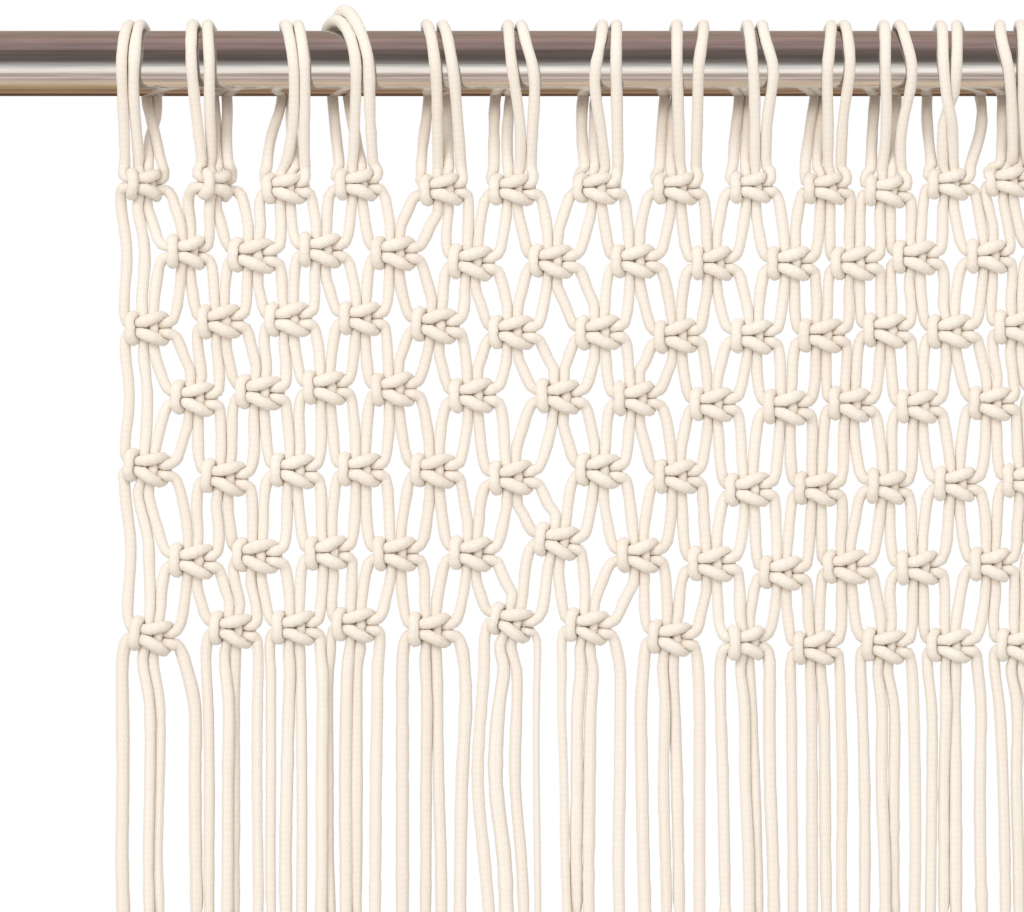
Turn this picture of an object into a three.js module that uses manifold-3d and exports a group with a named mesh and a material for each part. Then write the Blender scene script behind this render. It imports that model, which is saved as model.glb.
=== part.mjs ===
// A macrame curtain on its rod: cotton cords folded over a round metal rod, knotted into a net, and left to
// hang as a long fringe.
// Millimetres, +Z up, +X along the rod, and the room side faces -Y. The origin is on the rod's axis, half way
// along it.
import * as THREE from "three";
import { mergeVertices } from "three/addons/utils/BufferGeometryUtils.js";
import Module from "manifold-3d";

const wasm = await Module();
wasm.setup();

// Driving sizes
const CORD_DIAMETER = 4;
const ROD_DIAMETER = 25;
const ROD_OVERHANG = 105;
const CURTAIN_DROP = 1800;
const COLUMNS = 25;
const COLUMN_PITCH = 27.6;
const CLEARANCE = 0.3;

// The rows of knots that the solids hold: how far each hangs under the rod's axis, how far it dips and rises
// along its length, and the first of its knots.
const ROWS = {
  first: { drop: 47, sway: 1.0, firstColumn: 0 },
  middle: { drop: 101, sway: 3.2, firstColumn: 1 },
  lower: { drop: 157.5, sway: 3.2, firstColumn: 0 },
  last: { drop: 218, sway: 3.8, firstColumn: 0 },
};
const SWAY_COLUMNS = 10.5;
const SWAY_START = 5.7;
// The net has every second knot of a row and every second row, which keeps its gaps open.
const NET_STEP = 2;

// A square knot: its half width, and its half height at the left and at the right, where it spreads.
const KNOT = { reach: 9.8, leftRise: 5.4, rightRise: 7.4, notch: 2.4, waist: 4.4, depth: 9.2, edge: 1.2 };
// The upright turn of cord that crosses the front of each knot near its left end.
const TURN = { across: -5.2, rise: 4.6, out: 4.4, radius: 2.4 };
// The groove between a knot's upper and lower bar.
const GROOVE = { left: -3, right: 6, width: 1.6, depth: 2.2 };
// Where a knot's four cords run in and out, from left to right: across from its middle, and above or below.
const CORDS = {
  outerLeft: { across: -6.4, rise: 3.4 },
  innerLeft: { across: -2.1, rise: 3.8 },
  innerRight: { across: 2.2, rise: 4.2 },
  outerRight: { across: 6.5, rise: 4.8 },
};
// The two loops above a knot: where each lies on the rod, and the knot's cord that each of its ends becomes.
const LOOPS = [
  { front: -2.8, top: -3.2, back: -4.4, frontCord: CORDS.innerLeft, backCord: CORDS.outerLeft },
  { front: 4.2, top: 3.4, back: 2.2, frontCord: CORDS.outerRight, backCord: CORDS.innerRight },
];
// How far round the rod a loop lies, and in how many straight steps.
const LOOP_TURN = 1.25 * Math.PI;
const LOOP_STEPS = 8;
const CORD_SIDES = 4;
const ROD_SIDES = 48;

// The fringe: where the four cords under a knot hang once they settle, and how unevenly they hang and end.
const FRINGE = {
  hang: [-10.35, -3.45, 3.45, 10.35],
  settleDrop: 16,
  middleDrop: 900,
  swing: 1.1,
  stir: 1.8,
  hemUneven: 7,
};
// How far out of step each strand is with its neighbour, in radians: across, towards the room and at the hem.
const OUT_OF_STEP = { across: 1.7, out: 1.1, hem: 2.4 };
// The strip that the fringe hangs from, a narrow bar with a lobe in the place of each knot of the last row,
// and how far the net's cords run straight above it.
const STRIP = {
  depth: 8,
  edge: 1.4,
  reach: 10.2,
  lobeRise: 6.4,
  waist: 11.4,
  waistRise: 2.6,
  straightAbove: 4,
};
// How far a cutting wedge stands out of what it cuts.
const OVERCUT = 0.2;

const cordRadius = CORD_DIAMETER / 2 + 0.1;
const rodRadius = ROD_DIAMETER / 2;
const curtainWidth = COLUMNS * COLUMN_PITCH;
const rodLength = curtainWidth + 2 * ROD_OVERHANG;
// The loops' straight steps cut inside their own circle, which is wider by that much.
const loopRadius = (rodRadius + CLEARANCE) / Math.cos(LOOP_TURN / LOOP_STEPS / 2) + cordRadius;

const point = (across, out, up) => new THREE.Vector3(across, -out, up);
const columnX = (column) => (column - (COLUMNS - 1) / 2) * COLUMN_PITCH;

function knotCentre(row, column) {
  const wave = Math.sin((2 * Math.PI * (column - SWAY_START)) / SWAY_COLUMNS);
  return point(columnX(column), 0, -row.drop - row.sway * wave);
}

// A route with one section of the cord at each of its points.
class CordRoute extends THREE.CatmullRomCurve3 {
  getUtoTmapping(u) {
    return u;
  }
}

// A route that hangs, whose sections all lie level, so that the cord's sides stay flat between them.
class HangingRoute extends CordRoute {
  computeFrenetFrames(steps) {
    const repeated = (x, y) => Array.from({ length: steps + 1 }, () => new THREE.Vector3(x, y, 0));
    const down = Array.from({ length: steps + 1 }, () => new THREE.Vector3(0, 0, -1));
    return { tangents: down, normals: repeated(1, 0), binormals: repeated(0, -1) };
  }
}

function roundSection(sides, radius) {
  const corners = [];
  for (let side = 0; side < sides; side++) {
    const angle = (2 * Math.PI * side) / sides;
    corners.push(new THREE.Vector2(radius * Math.cos(angle), radius * Math.sin(angle)));
  }
  return new THREE.Shape(corners);
}

function cordAlong(route, radius = cordRadius) {
  return new THREE.ExtrudeGeometry(roundSection(CORD_SIDES, radius), {
    extrudePath: route,
    steps: route.points.length - 1,
    bevelEnabled: false,
  });
}

function toSolid(geometry) {
  geometry.deleteAttribute("normal");
  geometry.deleteAttribute("uv");
  const merged = mergeVertices(geometry, 1e-4);
  return new wasm.Manifold(new wasm.Mesh({
    numProp: 3,
    vertProperties: new Float32Array(merged.attributes.position.array),
    triVerts: new Uint32Array(merged.index.array),
  }));
}

function toGeometry(solid) {
  const mesh = solid.getMesh();
  const geometry = new THREE.BufferGeometry();
  geometry.setAttribute("position", new THREE.BufferAttribute(new Float32Array(mesh.vertProperties), 3));
  geometry.setIndex(new THREE.BufferAttribute(new Uint32Array(mesh.triVerts), 1));
  geometry.computeVertexNormals();
  return geometry;
}

const join = (solids) => wasm.Manifold.union(solids);

// A flat outline seen from the room, given its depth and bevelled edges.
function softEdged(outline, depth, edge) {
  const block = new THREE.ExtrudeGeometry(outline, {
    depth: depth - 2 * edge,
    bevelThickness: edge,
    bevelSize: edge,
    bevelOffset: -edge,
    bevelSegments: 1,
  });
  block.translate(0, 0, edge - depth / 2);
  block.rotateX(Math.PI / 2);
  return block;
}

// One knot around the origin: two bars that spread to the right, a groove between them, and the upright turn.
function makeKnot() {
  const { reach, leftRise, rightRise, notch, waist, depth, edge } = KNOT;
  const outline = new THREE.Shape([
    new THREE.Vector2(-reach, leftRise),
    new THREE.Vector2(-reach, -leftRise),
    new THREE.Vector2(reach, -rightRise),
    new THREE.Vector2(reach, -notch),
    new THREE.Vector2(waist, 0),
    new THREE.Vector2(reach, notch),
    new THREE.Vector2(reach, rightRise),
  ]);
  const block = softEdged(outline, depth, edge);

  const front = depth / 2;
  const wedge = new THREE.ExtrudeGeometry(new THREE.Shape([
    new THREE.Vector2(-GROOVE.width, front + OVERCUT),
    new THREE.Vector2(0, front - GROOVE.depth),
    new THREE.Vector2(GROOVE.width, front + OVERCUT),
  ]), { depth: GROOVE.right - GROOVE.left, bevelEnabled: false });
  wedge.rotateY(Math.PI / 2);
  wedge.rotateX(Math.PI);
  wedge.translate(GROOVE.left, 0, 0);

  const turn = cordAlong(new HangingRoute([
    point(TURN.across, TURN.out, TURN.rise),
    point(TURN.across, TURN.out, -TURN.rise),
  ]), TURN.radius);
  return toSolid(block).subtract(toSolid(wedge)).add(toSolid(turn));
}

// Where one of a knot's cords lies, above it (side 1) or below it (side -1).
const cordEnd = (centre, cord, side) => centre.clone().add(point(cord.across, 0, side * cord.rise));

// A loop over the rod, from the knot up the front, round the rod and down the back to the same knot.
function loopPoints(centre, loop) {
  const frontEnd = cordEnd(centre, loop.frontCord, 1);
  const backEnd = cordEnd(centre, loop.backCord, 1);
  const points = [frontEnd];
  for (let step = 0; step <= LOOP_STEPS; step++) {
    const share = step / LOOP_STEPS;
    const angle = Math.PI + LOOP_TURN * (share - 0.5);
    const across = share < 0.5
      ? THREE.MathUtils.lerp(loop.front, loop.top, 2 * share)
      : THREE.MathUtils.lerp(loop.top, loop.back, 2 * share - 1);
    points.push(point(centre.x + across, loopRadius * Math.sin(angle), -loopRadius * Math.cos(angle)));
  }
  points.push(backEnd);
  return points;
}

// A cord from a knot down to the next, bowed sideways half way.
function hangingPoints(from, to, bow) {
  const middle = from.clone().lerp(to, 0.5).add(point(bow, 0, 0));
  return [from, middle, to];
}

// The cords that leave a knot towards the next row: a pair to the knot on either side of it, or straight down
// at the curtain's two edges.
const SLANTS = [
  { side: 1, start: CORDS.innerRight, end: CORDS.outerLeft, bow: -1.2 },
  { side: 1, start: CORDS.outerRight, end: CORDS.innerLeft, bow: 1.6 },
  { side: -1, start: CORDS.innerLeft, end: CORDS.outerRight, bow: 1.2 },
  { side: -1, start: CORDS.outerLeft, end: CORDS.innerRight, bow: -1.6 },
];
const EDGES = [
  { column: 0, start: CORDS.outerLeft, end: CORDS.outerLeft, bow: -1.6 },
  { column: 0, start: CORDS.innerLeft, end: CORDS.innerLeft, bow: 0.8 },
  { column: COLUMNS - 1, start: CORDS.outerRight, end: CORDS.outerRight, bow: 1.6 },
  { column: COLUMNS - 1, start: CORDS.innerRight, end: CORDS.innerRight, bow: -0.8 },
];

function netSolid() {
  const knot = makeKnot();
  const solids = [];
  const cord = (route) => solids.push(toSolid(cordAlong(route)));
  const netColumns = (row) => {
    const count = Math.ceil((COLUMNS - row.firstColumn) / NET_STEP);
    return Array.from({ length: count }, (_, index) => row.firstColumn + NET_STEP * index);
  };
  // A cord between two knots of the net.
  const between = (upper, column, lower, below, { start, end, bow }) => {
    const from = cordEnd(knotCentre(upper, column), start, -1);
    const to = cordEnd(knotCentre(lower, below), end, 1);
    cord(new HangingRoute(hangingPoints(from, to, bow)));
  };
  // A cord from the net's last knots, which ends straight over the strip of the fringe.
  const downToStrip = (column, below, { start, end, bow }) => {
    const from = cordEnd(knotCentre(ROWS.lower, column), start, -1);
    const to = knotCentre(ROWS.last, below).add(point(end.across, 0, STRIP.lobeRise + CLEARANCE));
    const above = to.clone().add(point(0, 0, STRIP.straightAbove));
    cord(new HangingRoute([...hangingPoints(from, above, bow), to]));
  };

  for (const row of [ROWS.first, ROWS.middle, ROWS.lower]) {
    for (const column of netColumns(row)) {
      const centre = knotCentre(row, column);
      solids.push(knot.translate(centre.x, centre.y, centre.z));
    }
  }
  for (const column of netColumns(ROWS.first)) {
    for (const loop of LOOPS) cord(new CordRoute(loopPoints(knotCentre(ROWS.first, column), loop)));
  }
  for (const slant of SLANTS) {
    const inside = (column) => column + slant.side >= 0 && column + slant.side < COLUMNS;
    for (const column of netColumns(ROWS.first).filter(inside)) {
      between(ROWS.first, column, ROWS.middle, column + slant.side, slant);
      downToStrip(column, column + slant.side, slant);
    }
    for (const column of netColumns(ROWS.middle)) {
      between(ROWS.middle, column, ROWS.lower, column + slant.side, slant);
    }
  }
  for (const edge of EDGES) {
    between(ROWS.first, edge.column, ROWS.lower, edge.column, edge);
    downToStrip(edge.column, edge.column, edge);
  }
  return join(solids);
}

// The strip that holds the fringe: a narrow bar with a lobe for each knot of the last row.
function stripSolid() {
  const { depth, edge, reach, lobeRise, waist, waistRise } = STRIP;
  const top = [];
  const bottom = [];
  const add = (centre, across, rise) => {
    top.push(new THREE.Vector2(centre.x + across, centre.z + rise));
    bottom.push(new THREE.Vector2(centre.x + across, centre.z - rise));
  };
  for (let column = 0; column < COLUMNS; column++) {
    const centre = knotCentre(ROWS.last, column);
    if (column > 0) add(centre, -waist, waistRise);
    add(centre, -reach, lobeRise);
    add(centre, reach, lobeRise);
    if (column < COLUMNS - 1) add(centre, waist, waistRise);
  }
  return toSolid(softEdged(new THREE.Shape([...bottom, ...top.reverse()]), depth, edge));
}

// One strand of the fringe. Neighbours sway a little out of step, and end at their own heights.
function strandPoints(column, strand) {
  const { hang, settleDrop, middleDrop, swing, stir, hemUneven } = FRINGE;
  const centre = knotCentre(ROWS.last, column);
  const turn = column * hang.length + strand;
  const root = Object.values(CORDS)[strand].across;
  const across = columnX(column) + hang[strand];
  const sway = swing * Math.sin(turn * OUT_OF_STEP.across);
  const out = stir * Math.sin(turn * OUT_OF_STEP.out);
  return [
    centre.clone().add(point(root, 0, 0)),
    point(across, 0, centre.z - settleDrop),
    point(across + sway, out, -middleDrop),
    point(across - sway, -out, -CURTAIN_DROP + hemUneven * Math.sin(turn * OUT_OF_STEP.hem)),
  ];
}

function fringeSolid() {
  const solids = [stripSolid()];
  for (let column = 0; column < COLUMNS; column++) {
    for (let strand = 0; strand < FRINGE.hang.length; strand++) {
      solids.push(toSolid(cordAlong(new HangingRoute(strandPoints(column, strand)))));
    }
  }
  return join(solids);
}

function rodGeometry() {
  const rod = new THREE.CylinderGeometry(rodRadius, rodRadius, rodLength, ROD_SIDES);
  rod.rotateZ(Math.PI / 2);
  return rod;
}

const brushedSteel = new THREE.MeshStandardMaterial({ color: 0xb5aaa2, roughness: 0.35, metalness: 1 });
const cotton = new THREE.MeshStandardMaterial({ color: 0xf3e6d6, roughness: 0.9, metalness: 0 });
const fringeCotton = new THREE.MeshStandardMaterial({ color: 0xf0e1cf, roughness: 0.92, metalness: 0 });

function named(name, geometry, material) {
  const mesh = new THREE.Mesh(geometry, material);
  mesh.name = name;
  return mesh;
}

const curtain = new THREE.Group();
curtain.add(named("rod", rodGeometry(), brushedSteel));
curtain.add(named("net", toGeometry(netSolid()), cotton));
curtain.add(named("fringe", toGeometry(fringeSolid()), fringeCotton));

export default curtain;
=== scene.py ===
"""A macrame curtain: cotton cords folded over a steel rod and knotted into a net, with a long fringe."""

import functools
import math
import random

import bmesh
import bpy
import numpy as np
from bpy.props import FloatProperty, FloatVectorProperty, IntProperty, PointerProperty
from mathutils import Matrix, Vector, kdtree


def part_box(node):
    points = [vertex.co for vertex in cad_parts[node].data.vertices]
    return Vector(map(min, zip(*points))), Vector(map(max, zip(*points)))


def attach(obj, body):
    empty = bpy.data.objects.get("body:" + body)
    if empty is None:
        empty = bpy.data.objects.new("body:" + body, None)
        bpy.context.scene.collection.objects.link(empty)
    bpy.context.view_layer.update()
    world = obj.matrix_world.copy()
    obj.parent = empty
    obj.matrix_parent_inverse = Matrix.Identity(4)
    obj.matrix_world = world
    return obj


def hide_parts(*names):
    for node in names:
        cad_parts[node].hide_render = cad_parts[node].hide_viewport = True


bl_info = {
    "name": "Macrame curtain",
    "version": (1, 0, 0),
    "blender": (4, 5, 0),
    "location": "3D View > Sidebar > Curtain",
    "description": "Makes a knotted cotton curtain on a brushed steel rod",
    "category": "Object",
}

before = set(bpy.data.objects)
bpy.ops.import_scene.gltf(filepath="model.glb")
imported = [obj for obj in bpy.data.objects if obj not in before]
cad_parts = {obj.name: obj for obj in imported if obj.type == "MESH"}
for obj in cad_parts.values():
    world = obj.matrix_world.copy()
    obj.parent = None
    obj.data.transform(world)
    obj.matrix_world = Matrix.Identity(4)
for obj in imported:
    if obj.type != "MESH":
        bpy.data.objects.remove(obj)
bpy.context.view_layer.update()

# Lengths are worked out in millimetres, and become metres when a piece is made. The tiny one counts as none.
MM = 0.001
TINY = 1e-6
CORD_DIAMETER = 4.3
CORD_RADIUS = CORD_DIAMETER / 2
ROD_RADIUS = 12.5
COLUMNS = 25
COLUMN_PITCH = 27.6
CURTAIN_DROP = 1800.0
KNOT_CORDS = 4

# Where the photograph was taken from: its middle, its scale at the rod, and the camera's distance
PHOTO_WIDTH = 1024
PHOTO_MIDDLE = (512, 456)
PIXELS_PER_MM = 2.62
CAMERA_PLACE = (-191.5, -149.8)
CAMERA_DISTANCE = 1600.0
SENSOR_WIDTH = 36.0
CAMERA_CLIP = (0.05, 50.0)

# The rows of knots: how far each hangs under the rod's axis, and how far it dips and rises along its length
ROW_DROPS = (47, 74, 101, 128, 157.5, 189, 218)
ROW_SWAYS = (1.0, 2.1, 3.2, 3.2, 3.2, 3.5, 3.8)
SWAY_COLUMNS = 10.5
SWAY_START = 5.7

# The middle of each knot in view, row by row and from left to right, in pixels of the photograph
KNOTS_IN_VIEW = (
    ((143, 184), (213, 184), (286, 188), (357, 184), (443, 189), (513, 189), (598, 188), (677, 188),
     (751, 187), (826, 188), (886, 191), (949, 184), (1008, 181)),
    ((186, 252), (254, 255), (321, 250), (395, 253), (472, 262), (553, 261), (635, 261), (712, 263),
     (790, 263), (855, 263), (916, 257), (988, 256)),
    ((149, 328), (221, 321), (289, 319), (361, 318), (436, 325), (513, 332), (600, 332), (677, 336),
     (753, 336), (822, 335), (886, 330), (951, 331), (1016, 327)),
    ((195, 398), (261, 392), (326, 387), (394, 389), (473, 395), (559, 396), (635, 398), (713, 404),
     (786, 407), (850, 404), (918, 406), (992, 403)),
    ((148, 467), (225, 477), (294, 470), (361, 469), (435, 470), (512, 477), (600, 470), (677, 476),
     (749, 489), (817, 488), (886, 486), (955, 483), (1024, 480)),
    ((193, 560), (258, 555), (328, 552), (396, 553), (472, 553), (558, 541), (639, 555), (712, 563),
     (782, 572), (847, 566), (918, 567), (991, 564)),
    ((152, 635), (233, 629), (295, 627), (356, 624), (431, 629), (512, 622), (588, 626), (671, 637),
     (745, 642), (815, 647), (885, 645), (951, 645), (1018, 645)),
)
# Knots that are turned more than the rest: row and knot, then degrees about the line of sight and upright,
# and how wide the knot is
TURNED_KNOTS = {
    (0, 0): (0, 33, 1.0),
    (0, 1): (0, 50, 1.0),
    (1, 0): (0, 22, 1.0),
    (4, 0): (-8, 0, 1.0),
    (4, 1): (-5, 0, 1.0),
    (5, 5): (-8, 0, 1.0),
    (6, 0): (-8, 8, 1.0),
    (6, 1): (-5, 0, 1.0),
    (6, 5): (-13, 0, 1.0),
    (6, 6): (-6, 0, 1.0),
    (6, 7): (-5, 0, 1.0),
    (6, 8): (0, 26, 0.95),
}
# How unevenly the knots are tied: degrees about the line of sight and upright, and share of their size; how
# far a knot out of view strays across and up, in millimetres; and how far its cords' routes and shoulders
# stray, in pixels. The first row's knots are lower than the rest.
KNOT_ROLL = 1.4
KNOT_YAW = 6.0
KNOT_GROWTH = 0.04
KNOT_WOBBLE = (1.4, 1.5)
KNOT_SHAKE = 0.45
SHOULDER_SHAKE = 0.5
FIRST_ROW_HEIGHT = 0.82

# The four cords of a knot, from left to right: the outer two are tied round the inner two
OUTER_LEFT, INNER_LEFT, INNER_RIGHT, OUTER_RIGHT = range(KNOT_CORDS)
# How each cord runs through a knot: pixels across and up from its middle, cord diameters to the front, and
# how much wider than a free cord it is spread there
KNOT_ROUTES = {
    OUTER_LEFT: (
        (-18.5, 5.2, 0.1, 1.0), (-13, 4.2, 0.35, 0.98), (-8, 4.5, 0.8, 1.02), (-2, 5.4, 0.98, 1.1),
        (3, 7.0, 1.0, 1.1), (7.5, 9.1, 0.85, 1.02), (11.5, 10.2, 0.5, 0.9), (14.8, 10.1, 0.0, 0.86),
        (16.8, 7.0, -0.45, 0.9), (17.3, 0, -0.6, 0.9), (16.8, -7.5, -0.45, 0.9), (15.6, -11.6, 0.0, 0.9),
        (12.3, -12.4, 0.45, 0.9), (8, -10.8, 0.85, 1.02), (3, -8.0, 1.0, 1.1), (-2, -5.6, 0.98, 1.1),
        (-8, -4.3, 0.8, 1.02), (-13, -4.2, 0.35, 0.98), (-18.5, -5.2, 0.1, 1.0)),
    INNER_LEFT: ((-5.7, 28, 0.0, 1.0), (-5.6, 15, 0.15, 0.95), (-4.4, 0, 0.6, 0.98), (-5.4, -15, 0.15, 0.95),
                 (-5.9, -28, 0.0, 1.0)),
    INNER_RIGHT: ((5.2, 28, 0.0, 1.0), (5.3, 15, 0.15, 0.95), (5.6, 0, 0.65, 1.0), (4.9, -15, 0.15, 0.95),
                  (4.8, -28, 0.0, 1.0)),
    OUTER_RIGHT: (
        (18.5, 5.4, 0.5, 1.0), (15, 4.2, 0.6, 1.0), (11.5, 3.8, 0.25, 0.95), (8.5, 4.1, -0.5, 0.95),
        (3, 5.0, -0.95, 0.95), (-6, 6.0, -0.9, 0.95), (-11.5, 8.0, -0.7, 0.9), (-14.3, 9.5, -0.05, 0.95),
        (-15.6, 7.4, 0.65, 1.08), (-16.4, 3.8, 1.05, 0.98), (-16.6, 0, 1.1, 0.93), (-16.4, -4.2, 1.05, 0.98),
        (-15.4, -7.9, 0.65, 1.08), (-14.2, -10.2, -0.05, 0.95), (-11.5, -8.6, -0.7, 0.9),
        (-6, -6.1, -0.9, 0.95), (3, -5.0, -0.95, 0.95), (8.5, -4.6, -0.5, 0.95), (11.5, -4.7, 0.25, 0.95),
        (15, -5.4, 0.55, 1.0), (18.5, -6.5, 0.5, 1.0)),
}
# An outer cord swings out from the knot's side and turns up or down: how far out, of its reach, and how far
# up, in pixels. It has its usual reach where it heads for a place that is the aim away, and gives way to
# places nearer or farther off.
KNOT_SIDE = 18.5
SHOULDER = ((0.5, 7.4), (0.73, 12.0), (0.92, 18.0), (1.0, 27.0))
SHOULDER_REACH = 29.0
SHOULDER_AIM = 31.0
SHOULDER_GIVE = 0.45
# The outer cords come down from the rod into the first row's knots without that swing
FROM_THE_ROD = {
    OUTER_LEFT: ((-17.3, 10.5, 0.05, 1.0), (-16.2, 6.4, 0.2, 1.0)),
    OUTER_RIGHT: ((17.2, 11, 0.45, 1.0), (17.2, 7.2, 0.6, 1.0)),
}
# Where each cord passes from the net to the fringe: inside its last knot, as far across, up and to the front
CUT_IN_KNOT = {OUTER_LEFT: (17.3, 0, -0.6), INNER_LEFT: (-5.2, 6, 0.3), INNER_RIGHT: (5.6, 6, 0.4),
               OUTER_RIGHT: (0, 5.5, -0.95)}
# Where the two cords at an edge of the curtain pass the rows that don't hold them, in pixels from the edge,
# and how far above and below that they run straight, in millimetres
EDGE_CORDS = (-19, -1)
EDGE_RUN = 4.0

# How each cord in view lies over the rod, two to a column: where across the photograph it crosses the rod's
# top, then for its front and its back how far down it is and where across, with how many millimetres it is
# pushed back where it crosses another, and last the knot's cords that its two ends become
LOOPS_IN_VIEW = (
    ((130, ((63, 121), (100, 123), (130, 124.5, -1.0), (165, 126, -2.6)),
      ((103, 149), (130, 153, -2.2), (150, 158), (168, 163)), OUTER_LEFT, OUTER_RIGHT),
     (141, ((63, 134), (100, 133), (165, 140)),
      ((103, 157), (130, 152, 2.2), (150, 148), (165, 147)), INNER_LEFT, INNER_RIGHT)),
    ((193, ((63, 191), (100, 194.5), (130, 198.5, -1.5), (165, 203, -3.8)),
      ((103, 215), (165, 218)), OUTER_LEFT, INNER_RIGHT),
     (207, ((63, 210), (100, 209), (165, 212)),
      ((103, 229), (130, 227), (150, 222), (165, 228)), INNER_LEFT, OUTER_RIGHT)),
    ((284, ((63, 294), (100, 296), (130, 293), (165, 286)),
      ((103, 286), (130, 270), (165, 267)), INNER_LEFT, OUTER_LEFT),
     (297, ((63, 305), (100, 304), (165, 304)),
      ((103, 289), (165, 295)), OUTER_RIGHT, INNER_RIGHT)),
    ((336, ((30, 347), (40, 352), (63, 357), (100, 355.6), (165, 353)),
      ((30, 325), (103, 333), (130, 335), (165, 340)), INNER_LEFT, OUTER_LEFT),
     (343, ((30, 358), (40, 364), (63, 370), (100, 369), (165, 373)),
      ((30, 334), (103, 349), (165, 361)), OUTER_RIGHT, INNER_RIGHT)),
    ((425, ((40, 432), (63, 435), (80, 437), (100, 437), (165, 438)),
      ((103, 430), (130, 424), (165, 421)), INNER_LEFT, OUTER_LEFT),
     (441, ((40, 448), (63, 452), (80, 455), (100, 456), (165, 461)),
      ((103, 446), (165, 449)), OUTER_RIGHT, INNER_RIGHT)),
    ((508, ((40, 509), (63, 511), (100, 517), (130, 522), (165, 520)),
      ((103, 494), (165, 494)), INNER_RIGHT, OUTER_LEFT),
     (521, ((40, 524), (63, 533), (80, 536), (100, 535), (115, 533), (165, 531)),
      ((103, 510), (130, 506), (165, 508)), OUTER_RIGHT, INNER_LEFT)),
    ((603, ((40, 602), (63, 595.5), (85, 592.5), (100, 595.6), (130, 602), (165, 605)),
      ((103, 581), (150, 582), (165, 585)), INNER_RIGHT, OUTER_LEFT),
     (617, ((63, 615.6), (100, 617), (165, 618)),
      ((103, 594), (165, 595)), OUTER_RIGHT, INNER_LEFT)),
    ((677, ((63, 676.6), (100, 678), (165, 680)),
      ((103, 664), (150, 661), (165, 660)), INNER_RIGHT, OUTER_LEFT),
     (705, ((40, 703), (63, 698), (100, 698), (165, 696)),
      ((103, 673), (165, 670)), OUTER_RIGHT, INNER_LEFT)),
    ((747, ((40, 750), (63, 753), (100, 755), (165, 755)),
      ((103, 740), (130, 735), (165, 733)), INNER_RIGHT, OUTER_LEFT),
     (762, ((40, 764), (63, 774), (75, 776), (100, 770), (115, 766), (165, 766)),
      ((103, 749), (165, 745)), OUTER_RIGHT, INNER_LEFT)),
    ((832, ((40, 830.5), (63, 827.5), (80, 826.5), (100, 828), (165, 828)),
      ((103, 819), (120, 813), (140, 808), (165, 805)), INNER_RIGHT, OUTER_LEFT),
     (844, ((40, 848), (63, 851), (80, 850.5), (100, 845), (115, 842.5), (165, 841)),
      ((103, 820), (165, 817)), OUTER_RIGHT, INNER_LEFT)),
    ((884, ((63, 885), (100, 886.5), (130, 887), (165, 883)),
      ((103, 875), (130, 872), (165, 871)), INNER_LEFT, OUTER_LEFT),
     (898, ((40, 905), (63, 913), (80, 914), (100, 909), (115, 903), (130, 900), (165, 900)),
      ((103, 897), (130, 894), (165, 892)), OUTER_RIGHT, INNER_RIGHT)),
    ((941, ((63, 942.5), (80, 944), (106, 949, -2.2), (130, 951), (165, 953)),
      ((103, 926), (130, 927), (165, 932)), INNER_RIGHT, OUTER_LEFT),
     (956, ((63, 956.5), (90, 956), (106, 950.5, 1.5), (120, 944), (130, 942.5), (165, 944)),
      ((103, 984), (130, 983), (150, 976), (165, 969)), INNER_LEFT, OUTER_RIGHT)),
    ((1000, ((40, 1000), (63, 1008), (100, 1012), (165, 1013)),
      ((103, 1003), (165, 1001)), INNER_LEFT, OUTER_LEFT),
     (1020, ((63, 1023), (100, 1023), (165, 1027)),
      ((103, 1018), (165, 1020)), OUTER_RIGHT, INNER_RIGHT)),
)
# A column out of view has the usual pair of loops, given from the middle of its first knot
USUAL_LOOPS = (
    (-8, ((40, -8), (63, -7), (100, -3), (165, 6)), ((103, -19), (165, -17)), INNER_RIGHT, OUTER_LEFT),
    (8, ((40, 11), (63, 16), (100, 15), (165, 17)), ((103, 2), (165, -5)), OUTER_RIGHT, INNER_LEFT),
)
# How far it is moved along the rod, in pixels, above this height of the photograph
LOOP_SHIFT = 3.5
SHIFTED_ABOVE = 120
# The loops that stand up off the rod: column and cord, then how far the top is lifted and how thick it is,
# and how far along the cord that reaches
RAISED_LOOPS = {(3, 0): (2.0, 1.16), (3, 1): (5.7, 1.2)}
RAISED_RUN = 12.0
# A loop's way round the rod: its room off the rod, how far under the axis it ends, its points round the rod,
# its steps on the straight, how often its places are evened out, and the pixel row of the rod's top
ROD_GAP = 0.15
LOOP_FOOT = -40.0
ROUND_POINTS = 40
STRAIGHT_STEPS = 8
LOOP_SMOOTHINGS = 3
ROD_TOP_DOWN = 25

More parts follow.
